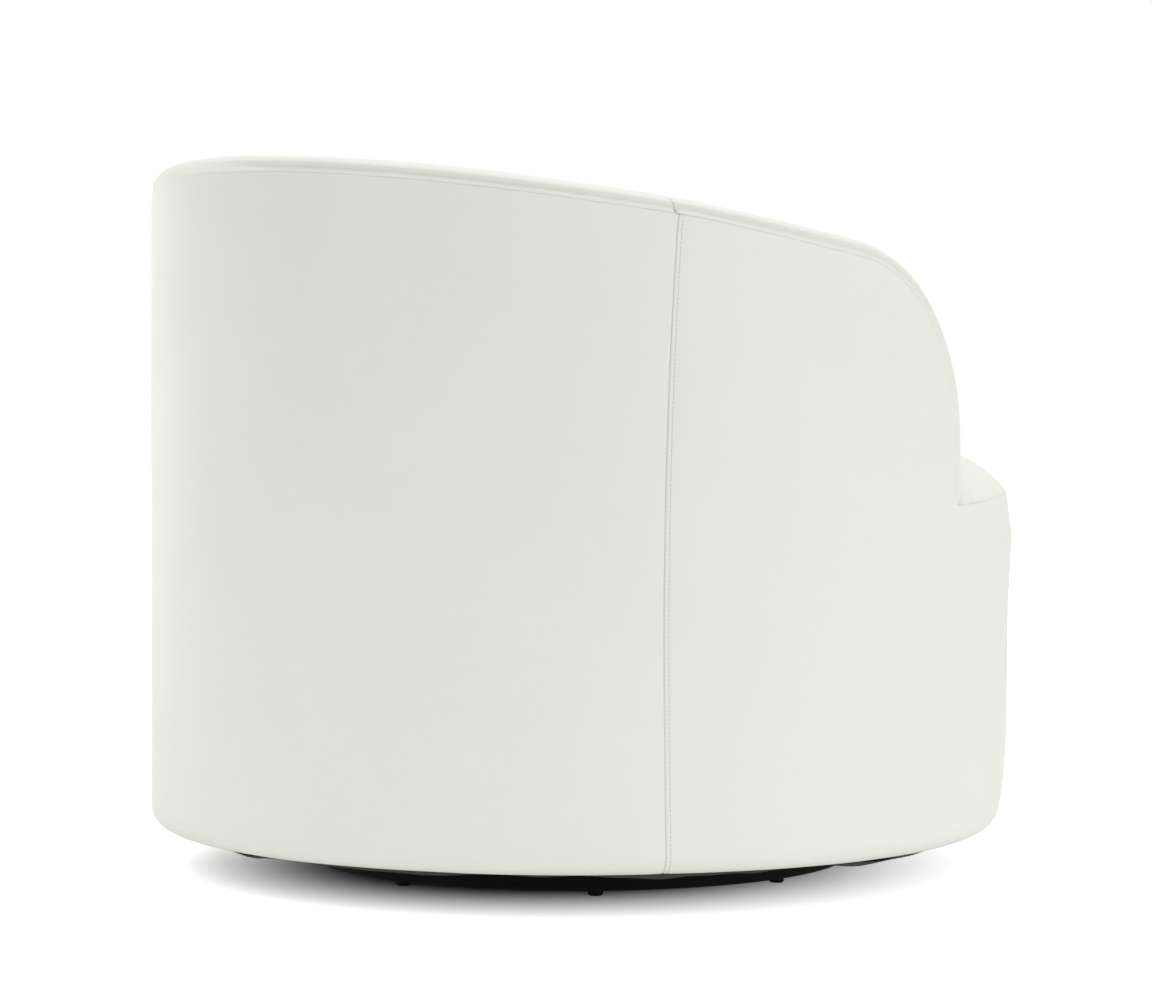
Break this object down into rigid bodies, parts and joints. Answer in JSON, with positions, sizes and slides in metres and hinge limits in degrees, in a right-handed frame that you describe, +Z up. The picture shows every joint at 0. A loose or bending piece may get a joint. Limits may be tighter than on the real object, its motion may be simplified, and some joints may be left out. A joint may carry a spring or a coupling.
{
  "type": "swivel chair",
  "caption": "Barrel swivel armchair in smooth off-white leather with a sloping rolled rim, tight crowned seat and a low black round base",
  "frame": {"origin": "on the floor under the swivel axis, at the bottom of the glides", "axes": "+Z up, the front of the seat faces -Y, +X is the left of someone seated"},
  "size_m": [0.84, 0.84, 0.678],
  "materials": {
    "leather_white": "satin",
    "foam": "matte",
    "wadding": "matte",
    "felt": "matte",
    "webbing": "matte",
    "cambric_black": "matte",
    "hardboard": "matte",
    "plywood": "matte",
    "timber": "matte",
    "base_black": "matte",
    "glide_nylon": "matte",
    "retainer_nylon": "matte",
    "plate_black": "satin",
    "steel": "satin",
    "spring_steel": "satin",
    "bush_brass": "satin"
  },
  "bodies": {
    "base": {"base_disc": "base_black", "glide_feet": "glide_nylon", "glide_nails": "steel", "lower_swivel_plate": "plate_black", "base_bolts": "steel", "base_tee_nuts": "steel", "pivot_bolt": "steel", "pivot_washer": "steel", "pivot_nut": "steel"},
    "bearing": {"bearing_balls": "steel", "ball_retainer": "retainer_nylon"},
    "chair": {"upper_swivel_plate": "plate_black", "pivot_bush": "bush_brass", "board_bolts": "steel", "board_tee_nuts": "steel", "bottom_board": "plywood", "board_screws": "steel", "lower_posts": "timber", "deck_screws": "steel", "seat_deck": "plywood", "upper_posts": "timber", "top_rail": "plywood", "arm_stump_left": "timber", "arm_stump_right": "timber", "back_webbing": "webbing", "seat_springs": "spring_steel", "spring_clips": "steel", "spring_felt": "felt", "seat_foam": "foam", "tub_foam": "foam", "nose_foam_left": "foam", "nose_foam_right": "foam", "outer_wadding": "wadding", "hem_roll": "foam", "back_board": "hardboard", "front_board": "hardboard", "seat_cover": "leather_white", "inner_back_cover": "leather_white", "inner_arm_cover_left": "leather_white", "inner_arm_cover_right": "leather_white", "outer_back_cover": "leather_white", "outer_front_cover": "leather_white", "dust_cover": "cambric_black"}
  },
  "joints": [
    {"name": "swivel", "type": "hinge", "parent": "base", "child": "chair", "pos_m": [0, 0, 0.033], "axis": [0, 0, 1], "continuous": true},
    {"name": "ball_cage_roll", "type": "hinge", "parent": "base", "child": "bearing", "pos_m": [0, 0, 0.033], "axis": [0, 0, 1], "continuous": true}
  ],
  "couplings": [
    {"joint": "ball_cage_roll", "follows": "swivel", "ratio": 0.5}
  ]
}
